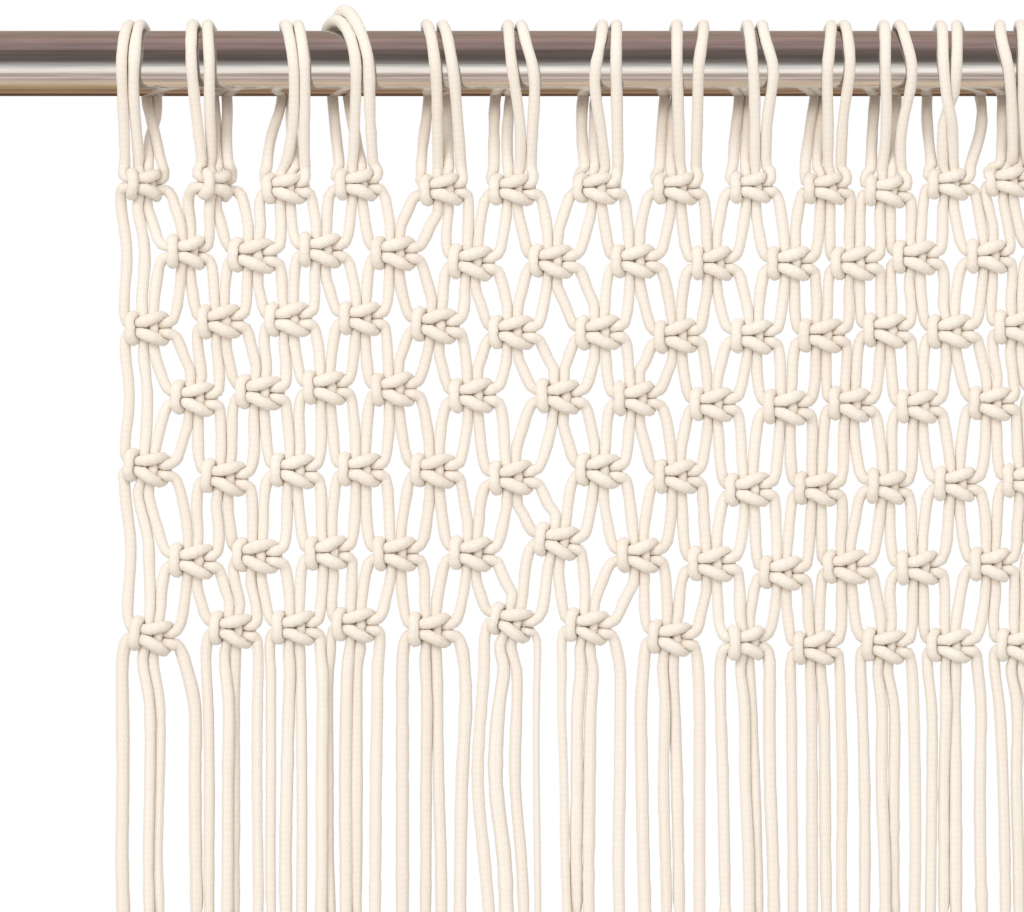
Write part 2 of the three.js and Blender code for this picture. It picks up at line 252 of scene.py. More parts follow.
# Where the four strands under each knot in view hang, at these heights down the photograph
FRINGE_DOWNS = (665, 700, 780, 860, 912)
FRINGE_IN_VIEW = (
    ((120, 122.5, 123, 122, 123.5), (147, 149.5, 150, 148.5, 149.5),
     (155.5, 159.5, 159, 157, 159), (190.5, 194.5, 195, 196, 197)),
    ((206.5, 208, 209.5, 209, 209), (229, 229, 228, 228, 227.5),
     (234.5, 234, 234.5, 234, 234), (258, 257.5, 257, 258, 258.5)),
    ((271, 271, 271, 270.5, 271), (290.5, 289, 287, 285.5, 286),
     (300, 301, 302, 302, 301.5), (322.5, 323, 322, 322, 321)),
    ((328, 327.5, 328, 328.5, 330), (347.5, 346.5, 345.5, 346, 346),
     (356.5, 356.5, 356.5, 356, 355.5), (377.5, 377.5, 376, 375.5, 375)),
    ((402, 402.5, 402.5, 402.5, 402.5), (428, 427, 426, 426, 425.5),
     (437.5, 437.5, 438.5, 441, 441.5), (469, 466, 462, 460.5, 460)),
    ((484.5, 482, 477.5, 484.5, 489), (505.5, 499.5, 495.5, 504.5, 506.5),
     (517, 517, 515, 521.5, 524), (537.5, 536.5, 536.5, 537.5, 538)),
    ((562.5, 561.5, 564, 565, 567), (582, 578, 577, 576, 576.5),
     (594, 591, 589.5, 588.5, 588.5), (620.5, 620.5, 620, 618.5, 619.5)),
    ((641.5, 641, 642, 643.5, 645), (667, 665, 663.5, 665.5, 667),
     (675.5, 674.5, 677, 678.5, 679), (699.5, 699.5, 699.5, 699.5, 699.5)),
    ((722.5, 720.5, 723, 724.5, 725.5), (744.5, 744, 745, 748.5, 749),
     (751, 751, 754.5, 757, 758), (769, 769.5, 770, 773, 774)),
    ((790.5, 791.5, 792, 793, 793), (812, 811.5, 812, 812, 812.5),
     (821.5, 823.5, 825, 825.5, 826.5), (839.5, 840.5, 842.5, 841.5, 842)),
    ((863.5, 862, 864.5, 865, 864.5), (883, 882, 881.5, 884.5, 885),
     (893, 894, 894, 894, 894.5), (913, 913.5, 915, 915.5, 914.5)),
    ((930.5, 931.5, 932, 931, 930.5), (946, 946, 944, 944, 944),
     (955.5, 955, 955.5, 955.5, 955.5), (978, 981, 980, 980.5, 982)),
    ((999, 999, 1003, 1005, 1005.5), (1018, 1017, 1016.5, 1018.5, 1019),
     (1028, 1029, 1031, 1033, 1033), (1046, 1050, 1051, 1052, 1052)),
)
# Strands in view that are thicker or thinner than the rest: column and cord, and by how much
ODD_STRANDS = {(4, 3): 0.14, (5, 0): 0.14, (5, 1): 0.32, (5, 3): -0.4, (6, 0): -0.17, (6, 1): 0.12,
               (6, 2): 0.12}
# Under a knot out of view they hang about these distances from its middle, give or take a little
FRINGE_UNDER_KNOT = (-9.3, -2.0, 2.4, 10.2)
FRINGE_WANDER = 0.5
ROOM_UNDER_KNOT = 3.5
# How the strands hang below that: where they settle from their column's middle; at each height how much of
# the way there they are, and their share of the swing across and out; and how far a strand swings across,
# out, and is longer at the hem, each with how far it is out of step with its neighbour
STRAND_PLACES = (-10.35, -3.45, 3.45, 10.35)
STRAND_STOPS = ((-560.0, 0.6, 0.5, -0.6), (-900.0, 1.0, 1.0, -1.0), (-1350.0, 1.0, 0.0, 0.0),
                (-CURTAIN_DROP, 1.0, -1.0, 1.0))
STRAND_UNEVEN = ((1.1, 1.7), (1.8, 1.1), (7.0, 2.4))

# Samples along a cord: how far apart they are, the nearest that two points of a route may be, and the steps
# in which the curve between two points is drawn
SAMPLE_STEP = 1.4
LEAST_GAP = 0.05
CURVE_STEPS = 12
# Settling the cords against each other: how far a contact reaches, how many samples along one cord don't
# meet, how close two cords lie, how hard they are pushed apart, how far a knot reaches, and how much a cord
# is drawn straight and held to its route in each round
CONTACT_REACH = 6.5
OWN_RUN = 7
TIGHTNESS = 0.92
LEAST_DISTANCE = 0.01
PUSH_STRENGTH = 1.4
ROD_CLEARANCE = 0.05
KNOT_REACH = 12.5
DRAWN_IN_KNOTS = 0.16
DRAWN_BETWEEN_KNOTS = 0.6
HELD_IN_KNOTS = 0.14
HELD_BETWEEN_KNOTS = 0.05
SETTLE_ROUNDS = 36
# Pressing them flat where they touch: how far neighbours are looked for and how many are kept, how deep a
# cord is pressed in at most and how far past the touch, and how far from a neighbour the painted shade
# between touching cords begins
PRESSING_REACH = 7.0
MOST_NEIGHBOURS = 24
FAR_OFF = 1000.0
DEEPEST_PRESS = 0.6 * CORD_RADIUS
PRESSED_PAST = 0.02
CREASE_SHADE_REACH = 1.0
# How far under the rod the cords behind it are darkened with painted shade, most next to the rod
UNDER_ROD_SHADE_REACH = 46.0
SEED = 41

# How the cords are cut into pieces and rings, how far the net's and the fringe's ends overlap in a knot, and
# how uneven the cords and the hanging strands are
NET_PIECES = 4
FRINGE_PIECES = 4
OVERLAP = 3
TUCKED_END = 0.94
RING_TURN = math.radians(13)
RING_RUN = 3.2
FRINGE_STEP = 8.0
UNEVEN_WIDTH = 0.035
STRAND_WIDTHS = 0.06
STRAND_SPREAD = 0.045
WIDTH_RUN = 60.0
FRAYED_END = 1.06
STRAND_WAVES = ((61.0, 0.22), (134.0, 0.35), (310.0, 0.5))
WAVE_RUN = 60.0

# The cotton: how far its plaits lean, the size of its fibres and of its cloudy patches, how much cords and
# patches vary in tint, how dark the plaits' edges and the fibres are and how far they rise, and how quickly
# the painted shade between touching cords fades
PLAIT_LEAN = 0.7
FIBRE_SCALE = 2600.0
CLOUD_SCALE = 38.0
CORD_TINT = 0.6
CLOUD_TINT = 0.55
PLAIT_SHADE = 0.17
FIBRE_SHADE = 0.45
PLAIT_RISE = 0.7
FIBRE_RISE = 0.6
CREASE_SHADE_FALL = 2.6
BUMP_DEPTH = 0.0002
# The steel: how fine its long and its short strokes are along and round the rod and their detail, the share
# of the first, how clearly they show, how dark the dullest are, how much they change its roughness
STEEL_STROKES = (((3.0, 900.0, 900.0), 3.0), ((34.0, 620.0, 620.0), 2.0))
FINE_SHARE = 0.45
STREAK_CONTRAST = 3.2
DULL_STREAK = 0.72
ROUGHNESS_SWING = 0.08
BEVEL_STEPS = 3

# What the polished rod mirrors: degrees up from the horizon in front, and the colour of the room there
ROUND_THE_ROD = (
    (-180, (226, 221, 214)), (-164, (66, 46, 32)), (-154, (66, 44, 28)), (-146, (92, 66, 48)),
    (-138, (118, 92, 70)), (-129, (164, 136, 112)), (-121, (134, 106, 82)), (-112, (140, 116, 92)),
    (-104, (165, 140, 112)), (-96, (171, 141, 106)), (-89, (190, 170, 146)), (-79, (208, 190, 166)),
    (-68, (188, 172, 158)), (-63, (170, 154, 144)), (-57, (216, 202, 194)), (-51, (166, 152, 144)),
    (-45, (180, 168, 160)), (-41, (192, 182, 172)), (-36, (234, 225, 217)), (-28, (249, 244, 238)),
    (-17, (213, 211, 207)), (-7, (158, 156, 152)), (1, (108, 103, 97)), (9, (97, 91, 85)),
    (20, (92, 84, 78)), (40, (106, 92, 88)), (52, (140, 123, 121)), (68, (144, 123, 121)),
    (85, (158, 136, 130)), (110, (146, 126, 116)), (152, (152, 138, 130)), (180, (226, 221, 214)),
)
MIRROR_STRENGTH = 1.68
SOFT_WHITE = (1.0, 0.985, 0.965)
# The light in front, in metres: where it is, what it is aimed at, and its width and height
LIGHT_PLACE = (-0.9, -2.25, 1.1)
LIGHT_AIM = (0.0, 0.0, -0.3)
LIGHT_SIZE = (1.6, 1.2)
FLOOR_REACH = 4.0


def at_pixel(across, down, behind=0.0):
    """The place, in millimetres, that a pixel shows, that far behind the rod's axis."""
    scale = (CAMERA_DISTANCE + behind) / CAMERA_DISTANCE / PIXELS_PER_MM
    x = CAMERA_PLACE[0] + (across - PHOTO_MIDDLE[0]) * scale
    z = CAMERA_PLACE[1] + (PHOTO_MIDDLE[1] - down) * scale
    return np.array((x, behind, z))


def pixel_down(behind, z):
    """How far down the photograph a height is seen, that far behind the rod's axis."""
    scale = (CAMERA_DISTANCE + behind) / CAMERA_DISTANCE / PIXELS_PER_MM
    return PHOTO_MIDDLE[1] - (z - CAMERA_PLACE[1]) / scale


def column_x(column):
    """How far across the middle of a column is, in millimetres."""
    return (column - (COLUMNS - 1) / 2) * COLUMN_PITCH


def run_along(way):
    """How far along a way each of its points is."""
    return np.concatenate(([0], np.cumsum(np.linalg.norm(np.diff(way, axis=0), axis=1))))


def unit(vectors):
    """The same directions, each with a length of one."""
    return vectors / np.maximum(np.linalg.norm(vectors, axis=1), TINY)[:, None]


def rotated(across, up, angle):
    """A place turned about the middle."""
    return across * math.cos(angle) - up * math.sin(angle), across * math.sin(angle) + up * math.cos(angle)


class Knot:
    """One square knot: where it is, how it is turned, and where its cords run."""

    def __init__(self, row, index, rng):
        in_view = KNOTS_IN_VIEW[row]
        wobble = [rng.uniform(-reach, reach) for reach in KNOT_WOBBLE]
        if index < len(in_view):
            self.centre = at_pixel(*in_view[index])
        else:
            column = index + 0.5 * (row % 2)
            wave = math.sin(2 * math.pi * (column - SWAY_START) / SWAY_COLUMNS)
            z = -ROW_DROPS[row] - ROW_SWAYS[row] * wave
            self.centre = np.array((column_x(column) + wobble[0], 0.0, z + wobble[1]))
        roll, yaw, self.width = rng.gauss(0, KNOT_ROLL), rng.gauss(0, KNOT_YAW), 1.0
        if (row, index) in TURNED_KNOTS:
            roll, yaw, self.width = TURNED_KNOTS[row, index]
        self.roll = math.radians(roll)
        self.yaw = math.radians(yaw)
        self.growth = 1 + rng.uniform(-KNOT_GROWTH, KNOT_GROWTH)
        self.height = FIRST_ROW_HEIGHT if row == 0 else 1.0
        self.shake = rng

    def place(self, across, up, front, turned=1.0):
        """A point of the knot, from pixels across and up and cord diameters to the front."""
        across = across * self.growth * self.width / PIXELS_PER_MM
        up = up * self.growth * self.height / PIXELS_PER_MM
        x, y = rotated(across, -front * CORD_DIAMETER, self.yaw * turned)
        x, z = rotated(x, up, self.roll * turned)
        return self.centre + np.array((x, y, z))

    def shaken(self, across, up, front, size):
        """A point of a cord's route with its width, a little off its place."""
        across += self.shake.gauss(0, KNOT_SHAKE)
        up += self.shake.gauss(0, KNOT_SHAKE)
        return np.append(self.place(across, up, front), size)

    def shoulder(self, cord, towards, upward):
        """How an outer cord swings out of the knot, and up or down towards the place that it goes to."""
        side = -1 if cord == OUTER_LEFT else 1
        wanted = side * (towards - self.centre[0]) * PIXELS_PER_MM
        reach = SHOULDER_REACH + SHOULDER_GIVE * (wanted - SHOULDER_AIM)
        reach += self.shake.gauss(0, SHOULDER_SHAKE)
        points = []
        for share, up in SHOULDER:
            across = side * (KNOT_SIDE + share * (reach - KNOT_SIDE))
            points.append(np.append(self.place(across, upward * up, 0.0, 1 - share), 1.0))
        return points

    def route(self, cord, above, below):
        """One cord's way through the knot, between the places across that it comes from and goes to."""
        outer = cord in (OUTER_LEFT, OUTER_RIGHT)
        steps = KNOT_ROUTES[cord]
        if above is None:
            steps = (*FROM_THE_ROD.get(cord, ()), *steps[1:])
        points = [self.shaken(*step) for step in steps]
        if outer and above is not None:
            points = self.shoulder(cord, above, 1)[::-1] + points
        if outer:
            points += self.shoulder(cord, below, -1)
        return points


def make_knots():
    """All the knots, row by row; every second row has one knot fewer."""
    rng = random.Random(SEED)
    return [[Knot(row, index, rng) for index in range(COLUMNS - row % 2)] for row in range(len(ROW_DROPS))]


def strand_stops(strand, knots):
    """Where a strand is in every row: its knot and its number there, and its place between the rows."""
    stops = []
    for row in range(len(ROW_DROPS)):
        index, cord = divmod(strand - 2 * (row % 2), KNOT_CORDS)
        if 0 <= index < len(knots[row]):
            knot = knots[row][index]
            stops.append((knot, cord, knot.place(*KNOT_ROUTES[cord][0][:2], 0.0, 0.0)))
            continue
        end, side = (0, -1) if index < 0 else (-1, 1)
        from_edge = strand if index < 0 else KNOT_CORDS * COLUMNS - 1 - strand
        place = (knots[row - 1][end].centre + knots[row + 1][end].centre) / 2
        place[0] -= side * EDGE_CORDS[from_edge] / PIXELS_PER_MM
        stops.append((None, cord, place))
    return stops


def strand_below_rod(strand, knots, hanging):
    """The way of one strand from just above its first knot down to just under its last."""
    stops = strand_stops(strand, knots)
    points = []
    for row, (knot, cord, place) in enumerate(stops):
        above = stops[row - 1][2][0] if row else None
        below = stops[row + 1][2][0] if row + 1 < len(stops) else hanging[0][0]
        if knot:
            points.extend(knot.route(cord, above, below))
        else:
            ends = (place + np.array((0.0, 0.0, lift)) for lift in (EDGE_RUN, -EDGE_RUN))
            points.extend(np.append(end, 1.0) for end in ends)
    return points


def loop_profile():
    """Round the rod from the front to the back: distances run, depths behind the axis, and heights."""
    radius = ROD_RADIUS + CORD_RADIUS + ROD_GAP
    foot = np.array((0.0, LOOP_FOOT))
    wrap = math.pi - math.acos(radius / -LOOP_FOOT)
    angles = np.linspace(-wrap, wrap, ROUND_POINTS)
    round_rod = radius * np.column_stack((np.sin(angles), np.cos(angles)))
    shares = np.linspace(0, 1, STRAIGHT_STEPS + 1)[:-1, None]
    front, back = (foot + (end - foot) * shares for end in (round_rod[0], round_rod[-1]))
    profile = np.vstack((front, round_rod, back[::-1]))
    return run_along(profile), profile[:, 0], profile[:, 1]


def loop_points(loop, middle, raised):
    """One cord over the rod, from its front end to its back end."""
    top, front, back = loop[:3]
    run, behind, heights = loop_profile()
    half = len(run) // 2
    downs = np.array([pixel_down(y, z) for y, z in zip(behind, heights)])
    marks = [(run[half], at_pixel(top + middle, ROD_TOP_DOWN)[0], 0.0)]
    for side, measured in ((slice(0, half), front), (slice(half, None), back)):
        order = np.argsort(downs[side])
        seen_down, seen_run, seen_behind = (values[side][order] for values in (downs, run, behind))
        for down, across, *pushed in measured:
            at_run = np.interp(down, seen_down, seen_run)
            at_behind = np.interp(down, seen_down, seen_behind)
            marks.append((at_run, at_pixel(across + middle, down, at_behind)[0], sum(pushed)))
    marks = np.array(sorted(marks))
    across, pushed = (np.interp(run, marks[:, 0], marks[:, column]) for column in (1, 2))
    for line in (across, pushed):
        for _ in range(LOOP_SMOOTHINGS):
            line[1:-1] = (line[:-2] + 2 * line[1:-1] + line[2:]) / 4
    behind = behind + pushed
    size = np.ones(len(run))
    if raised:
        lift, thickness = raised
        near_top = np.exp(-((run - run[half]) / RAISED_RUN) ** 2)
        stretch = 1 + lift * near_top / np.hypot(behind, heights)
        behind, heights = behind * stretch, heights * stretch
        size += (thickness - 1) * near_top
    return np.column_stack((across, behind, heights, size))


def usual_loop(loop, rng):
    """The usual loop of a column out of view, its front and its back each moved a little along the rod."""
    top, *sides, front_end, back_end = loop
    shifts = [rng.uniform(-LOOP_SHIFT, LOOP_SHIFT) for _ in sides]
    moved = [[(down, across + (shift if down < SHIFTED_ABOVE else 0)) for down, across in side]
             for side, shift in zip(sides, shifts)]
    return (top + sum(shifts) / 2, *moved, front_end, back_end)


def smooth_way(points, step):
    """A dense, even run of samples along the smooth curve through the points."""
    points = np.asarray(points, float)
    gaps = np.linalg.norm(np.diff(points[:, :3], axis=0), axis=1)
    points = points[np.concatenate(([True], gaps > LEAST_GAP))]
    gaps = np.linalg.norm(np.diff(points[:, :3], axis=0), axis=1) ** 0.5
    times = np.concatenate(([0], np.cumsum(gaps)))
    slopes = np.empty_like(points)
    speed = np.diff(points, axis=0) / gaps[:, None]
    weight = (gaps[1:] / (gaps[:-1] + gaps[1:]))[:, None]
    slopes[1:-1] = speed[:-1] * weight + speed[1:] * (1 - weight)
    slopes[0], slopes[-1] = speed[0], speed[-1]
    s = np.linspace(0, 1, CURVE_STEPS + 1)[:-1, None]
    fine = []
    for start in range(len(points) - 1):
        a, b = points[start:start + 2]
        u, v = slopes[start:start + 2] * (times[start + 1] - times[start])
        fine.append(a * (1 + 2 * s) * (1 - s) ** 2 + u * s * (1 - s) ** 2
                    + b * s * s * (3 - 2 * s) - v * s * s * (1 - s))
    fine = np.vstack((*fine, points[-1:]))
    run = run_along(fine[:, :3])
    even = np.linspace(0, run[-1], max(2, round(run[-1] / step)) + 1)
    return np.column_stack([np.interp(even, run, column) for column in fine.T])


def hanging_places(knots):
    """Where each strand of the fringe is at the heights of FRINGE_DOWNS, one behind where two overlap."""
    rng = random.Random(SEED + 3)
    places = np.zeros((KNOT_CORDS * COLUMNS, len(FRINGE_DOWNS), 3))
    for strand, place in enumerate(places):
        column, cord = divmod(strand, KNOT_CORDS)
        for number, down in enumerate(FRINGE_DOWNS):
            if column < len(FRINGE_IN_VIEW):
                place[number] = at_pixel(FRINGE_IN_VIEW[column][cord][number], down)
                continue
            share = number / len(FRINGE_DOWNS)
            under = knots[-1][column].centre[0] + FRINGE_UNDER_KNOT[cord]
            hanging = column_x(column) + STRAND_PLACES[cord]
            x = under * (1 - share) + hanging * share + rng.gauss(0, FRINGE_WANDER)
            place[number] = (x, 0.0, at_pixel(0, down)[2])
    gaps = np.maximum(np.diff(places[:, :, 0], axis=0), 0)
    depths = np.sqrt(np.maximum(CORD_DIAMETER ** 2 - gaps ** 2, 0)) / 2
    places[:-1, :, 1] -= depths
    places[1:, :, 1] += depths
    return places


def strand_fringe(strand, last):
    """The way of one strand from where it leaves the photograph to its cut end."""
    column, cord = divmod(strand, KNOT_CORDS)
    own_x = column_x(column) + STRAND_PLACES[cord]
    swing, stir, longer = (reach * math.sin(strand * step) for reach, step in STRAND_UNEVEN)
    way = [last]
    for z, settled, across, out in STRAND_STOPS:
        x = own_x * settled + last[0] * (1 - settled) + across * swing
        way.append([x, out * stir, z])
    way[-1][2] += longer
    return [np.append(point, 1.0) for point in way]


def pairs_near(points, owners, reach):
    """The pairs of samples that lie near each other on different cords, or far apart on one."""
    tree = kdtree.KDTree(len(points))
    for index, point in enumerate(points):
        tree.insert(point, index)
    tree.balance()
    first, second = [], []
    for index, point in enumerate(points):
        for _, other, _ in tree.find_range(point, reach):
            if other <= index or owners[other] == owners[index] and other - index < OWN_RUN:
                continue
            first.append(index)
            second.append(other)
    return np.array(first), np.array(second)


def settle(points, sizes, owners, knots):
    """Pushes the cords off each other and off the rod, and draws them smooth, more so between the knots."""
    first, second = pairs_near(points, owners, CONTACT_REACH)
    both = np.concatenate((first, second))
    room = TIGHTNESS * CORD_RADIUS * (sizes[first] + sizes[second])
    free = np.ones(len(points), bool)
    for knot in (knot for row in knots for knot in row):
        free &= np.linalg.norm(points - knot.centre, axis=1) > KNOT_REACH
    inner = 1 + np.flatnonzero((owners[1:-1] == owners[:-2]) & (owners[1:-1] == owners[2:]))
    drawn = np.where(free, DRAWN_BETWEEN_KNOTS, DRAWN_IN_KNOTS)[inner, None]
    held = np.where(free, HELD_BETWEEN_KNOTS, HELD_IN_KNOTS)[:, None]
    rod_reach = ROD_RADIUS + CORD_RADIUS + ROD_CLEARANCE
    start = points.copy()
    for _ in range(SETTLE_ROUNDS):
        apart = points[first] - points[second]
        distance = np.maximum(np.linalg.norm(apart, axis=1), LEAST_DISTANCE)
        overlap = np.maximum(room - distance, 0)
        push = apart / distance[:, None] * (0.5 * overlap)[:, None]
        touching = (overlap > 0).astype(float)
        counts = np.maximum(np.bincount(both, np.concatenate((touching, touching)), len(points)), 1)
        for axis in range(3):
            moved = np.bincount(both, np.concatenate((push[:, axis], -push[:, axis])), len(points))
            points[:, axis] += PUSH_STRENGTH * moved / counts
        middle = (points[inner - 1] + points[inner + 1]) / 2
        points[inner] += drawn * (middle - points[inner])
        points += held * (start - points)
        out = np.hypot(points[:, 1], points[:, 2])
        inside = out < rod_reach
        points[inside, 1:] *= (rod_reach / np.maximum(out[inside], 1))[:, None]
    return points


@functools.lru_cache(maxsize=1)
def cords():
    """The cords, settled: samples, how wide each is, whose it is, each cord's two strands, and the knots."""
    knots = make_knots()
    hanging = hanging_places(knots)
    rng = random.Random(SEED + 1)
    ways = []
    strands = []
    for column in range(COLUMNS):
        in_view = column < len(LOOPS_IN_VIEW)
        for number, loop in enumerate(LOOPS_IN_VIEW[column] if in_view else USUAL_LOOPS):
            middle = 0.0
            if not in_view:
                middle = PHOTO_MIDDLE[0] + (knots[0][column].centre[0] - CAMERA_PLACE[0]) * PIXELS_PER_MM
                loop = usual_loop(loop, rng)
            over_rod = loop_points(loop, middle, RAISED_LOOPS.get((column, number)))
            own_strands = tuple(KNOT_CORDS * column + cord for cord in loop[3:])
            below = []
            for strand in own_strands:
                way = strand_below_rod(strand, knots, hanging[strand])
                lowest = way[-1][2] - ROOM_UNDER_KNOT
                below.append(way + [np.append(place, 1.0) for place in hanging[strand] if place[2] < lowest])
            ways.append(smooth_way([*below[0][::-1], *over_rod, *below[1]], SAMPLE_STEP))
            strands.append(own_strands)
    owners = np.concatenate([np.full(len(way), index) for index, way in enumerate(ways)])
    ways = np.vstack(ways)
    points = settle(ways[:, :3].copy(), ways[:, 3], owners, knots)
    return points, ways[:, 3], owners, strands, knots


def neighbour_table(points, owners):
    """For each sample, the nearest samples of other cords, padded with -1."""
    first, second = pairs_near(points, owners, PRESSING_REACH)
    pairs = np.concatenate((np.column_stack((first, second)), np.column_stack((second, first))))
    distance = np.linalg.norm(points[pairs[:, 0]] - points[pairs[:, 1]], axis=1)
    order = np.lexsort((distance, pairs[:, 0]))
    pairs = pairs[order]
    starts = np.searchsorted(pairs[:, 0], np.arange(len(points)))
    rank = np.arange(len(pairs)) - starts[pairs[:, 0]]
    table = np.full((len(points), MOST_NEIGHBOURS), -1)
    near = rank < MOST_NEIGHBOURS
    table[pairs[near, 0], rank[near]] = pairs[near, 1]
    return table


@functools.lru_cache(maxsize=1)
def cord_contacts():
    """What presses on the cords: the samples, which way each runs, its neighbours, and its radius."""
    points, sizes, owners, _, _ = cords()
    return points, unit(np.gradient(points, axis=0)), neighbour_table(points, owners), sizes * CORD_RADIUS


def chosen_rings(way):
    """The samples that a cord's rings stand on, closer together where it turns."""
    steps = np.diff(way, axis=0)
    ahead = unit(steps)
    bends = np.arccos(np.clip((ahead[1:] * ahead[:-1]).sum(1), -1, 1))
    chosen = [0]
    turned = run = 0.0
    for index, (length, bend) in enumerate(zip(np.linalg.norm(steps, axis=1), bends), 1):
        run += length
        turned += bend
        if turned > RING_TURN or run > RING_RUN:
            chosen.append(index)
            turned = run = 0.0
    return np.array([*chosen, len(way) - 1])


class Thread:
    """A stretch of cord that becomes one closed tube: its rings, with the run, sample and width of each."""

    def __init__(self, points, run, samples, tone, size):
        self.points = points
        self.run = run
        self.samples = samples
        self.tones = np.full(len(points), tone)
        self.size = size


def wandering(heights, uneven):
    """The little waves of a hanging strand, across and out, that start from nothing at its top."""
    start = np.minimum((heights[0] - heights) / WAVE_RUN, 1.0)
    waves = np.zeros((len(heights), 2))
    for length, reach in STRAND_WAVES:
        turns = heights[:, None] / length + uneven.random(2)
        waves += reach * np.sin(2 * np.pi * turns)
    return waves * start[:, None]


def fringe_thread(strand, ids, points, sizes, tone, uneven):
    """One strand of the fringe: the last samples of a settled cord, and its way from there to the hem."""
    piece = points[ids]
    rings = chosen_rings(piece)
    hanging = smooth_way(strand_fringe(strand, piece[-1]), FRINGE_STEP)[1:, :3]
    hanging[:, :2] += wandering(hanging[:, 2], uneven)
    whole = np.vstack((piece[rings], hanging))
    run = run_along(whole)
    size = np.concatenate((sizes[ids[rings]], np.ones(len(hanging))))
    size *= uneven.normal(1.0, UNEVEN_WIDTH, len(size))
    size[0] *= TUCKED_END
    size[-1] = FRAYED_END
    thicker = ODD_STRANDS.get(divmod(strand, KNOT_CORDS), uneven.normal(STRAND_SPREAD, STRAND_WIDTHS))
    size *= 1 + thicker * np.minimum(run / WIDTH_RUN, 1.0)
    return Thread(whole, run, np.concatenate((ids[rings], np.full(len(hanging), -1))), tone, size)


def nearest_sample(way, half, place):
    """The sample nearest to a place, in the first or the second half of a cord."""
    middle = len(way) // 2
    first = half * middle
    return first + int(np.argmin(np.linalg.norm(way[first:first + middle] - place, axis=1)))


@functools.lru_cache(maxsize=1)
def net_and_fringe_threads():
    """Every cord, cut inside its two last knots into what the net holds and what the fringe holds."""
    points, sizes, owners, strands, knots = cords()
    rng = random.Random(SEED + 2)
    uneven = np.random.default_rng(SEED)
    net, fringe = [], []
    for cord, own_strands in enumerate(strands):
        samples = np.flatnonzero(owners == cord)
        way = points[samples]
        column = cord // 2
        start, end = (nearest_sample(way, half, knots[-1][column].place(*CUT_IN_KNOT[strand % KNOT_CORDS]))
                      for half, strand in enumerate(own_strands))
        tone = rng.random()
        rings = start + chosen_rings(way[start:end + 1])
        width = sizes[samples[rings]] * uneven.normal(1.0, UNEVEN_WIDTH, len(rings))
        net.append((column, Thread(way[rings], run_along(way)[rings], samples[rings], tone, width)))
        for strand, ids in zip(own_strands, (samples[:start + OVERLAP][::-1], samples[end + 1 - OVERLAP:])):
            fringe.append((column, fringe_thread(strand, ids, points, sizes, tone, uneven)))
    return net, fringe


def add_object(name, data):
    """A new object in the scene."""
    item = bpy.data.objects.new(name, data)
    bpy.context.scene.collection.objects.link(item)
    return item


def finished_mesh(name, work, material):
    """A mesh of one material from what bmesh has shaped."""
    mesh = bpy.data.meshes.new(name)
    work.to_mesh(mesh)
    work.free()
    mesh.materials.append(material)
    return mesh


def values_of(items, name, width=1, kind=float):
    """One value, or a few, of each of a mesh's points, corners or texture places, as an array."""
    values = np.empty(len(items) * width, kind)
    items.foreach_get(name, values)
    return values.reshape(-1, width) if width > 1 else values


def tube_mesh(name, threads, sides):
    """All the threads as round tubes with their lengths in a UV map, pressed flat where they touch."""
    curve = bpy.data.curves.new(name, "CURVE")
    curve.dimensions = "3D"
    curve.bevel_depth = CORD_RADIUS * MM
    curve.bevel_resolution = sides // 2 - 2
    curve.use_fill_caps = False
    for thread in threads:
        spline = curve.splines.new("POLY")
        spline.points.add(len(thread.points) - 1)
        flat = np.ones((len(thread.points), 4))
        flat[:, :3] = thread.points * MM
        spline.points.foreach_set("co", flat.ravel())
        spline.points.foreach_set("radius", thread.size)
    source = add_object(name + "_source", curve)
    depsgraph = bpy.context.evaluated_depsgraph_get()
    mesh = bpy.data.meshes.new_from_object(source.evaluated_get(depsgraph))
    bpy.data.objects.remove(source)
    bpy.data.curves.remove(curve)
    mesh.name = name

    centres, run, samples, tone = (
        np.concatenate([np.repeat(getattr(thread, values), sides, axis=0) for thread in threads])
        for values in ("points", "run", "samples", "tones"))
    corners = values_of(mesh.vertices, "co", 3) / MM
    corners, crease_shade = press_together(corners, centres, samples)
    mesh.vertices.foreach_set("co", (corners * MM).ravel())
    places = values_of(mesh.uv_layers[0].uv, "vector", 2)
    places[:, 0] = run[values_of(mesh.loops, "vertex_index", kind=int)] * MM
    mesh.uv_layers[0].uv.foreach_set("vector", places.ravel())
    # Painted shade on the cords behind the rod, strongest just under it and fading lower down
    below = np.clip(1 - (-corners[:, 2] - ROD_RADIUS) / UNDER_ROD_SHADE_REACH, 0, 1) * (corners[:, 2] < 0)
    under_rod_shade = below * np.clip(corners[:, 1] / CORD_DIAMETER, 0, 1)
    for label, values in (("tone", tone), ("crease_shade", crease_shade), ("under_rod_shade", under_rod_shade)):
        mesh.attributes.new(label, "FLOAT", "POINT").data.foreach_set("value", values)
    close_ends(mesh)
    return mesh


def press_together(corners, centres, samples):
    """Flattens each cord where it meets another, and says how deep between touching cords each corner lies,
    for the painted shade there.
    """
    points, tangents, table, radii = cord_contacts()
    touching = np.flatnonzero((samples >= 0) & (table[np.maximum(samples, 0), 0] >= 0))
    gap = np.full(len(touching), FAR_OFF)
    for others in table[samples[touching]].T:
        there = others >= 0
        other = others[there]
        offset = corners[touching[there]] - points[other]
        along = np.clip((offset * tangents[other]).sum(1), -SAMPLE_STEP, SAMPLE_STEP)
        across = offset - along[:, None] * tangents[other]
        gap[there] = np.minimum(gap[there], np.linalg.norm(across, axis=1) - radii[other])
    depth = np.clip(PRESSED_PAST - gap / 2, 0, DEEPEST_PRESS)
    depth[gap > 0] = 0
    corners[touching] += unit(centres[touching] - corners[touching]) * depth[:, None]
    # How far into a crease each corner lies, which sets the painted shade there
    crease_shade = np.zeros(len(corners))
    crease_shade[touching] = np.clip(1 - gap / CREASE_SHADE_REACH, 0, 1)
    return corners, crease_shade


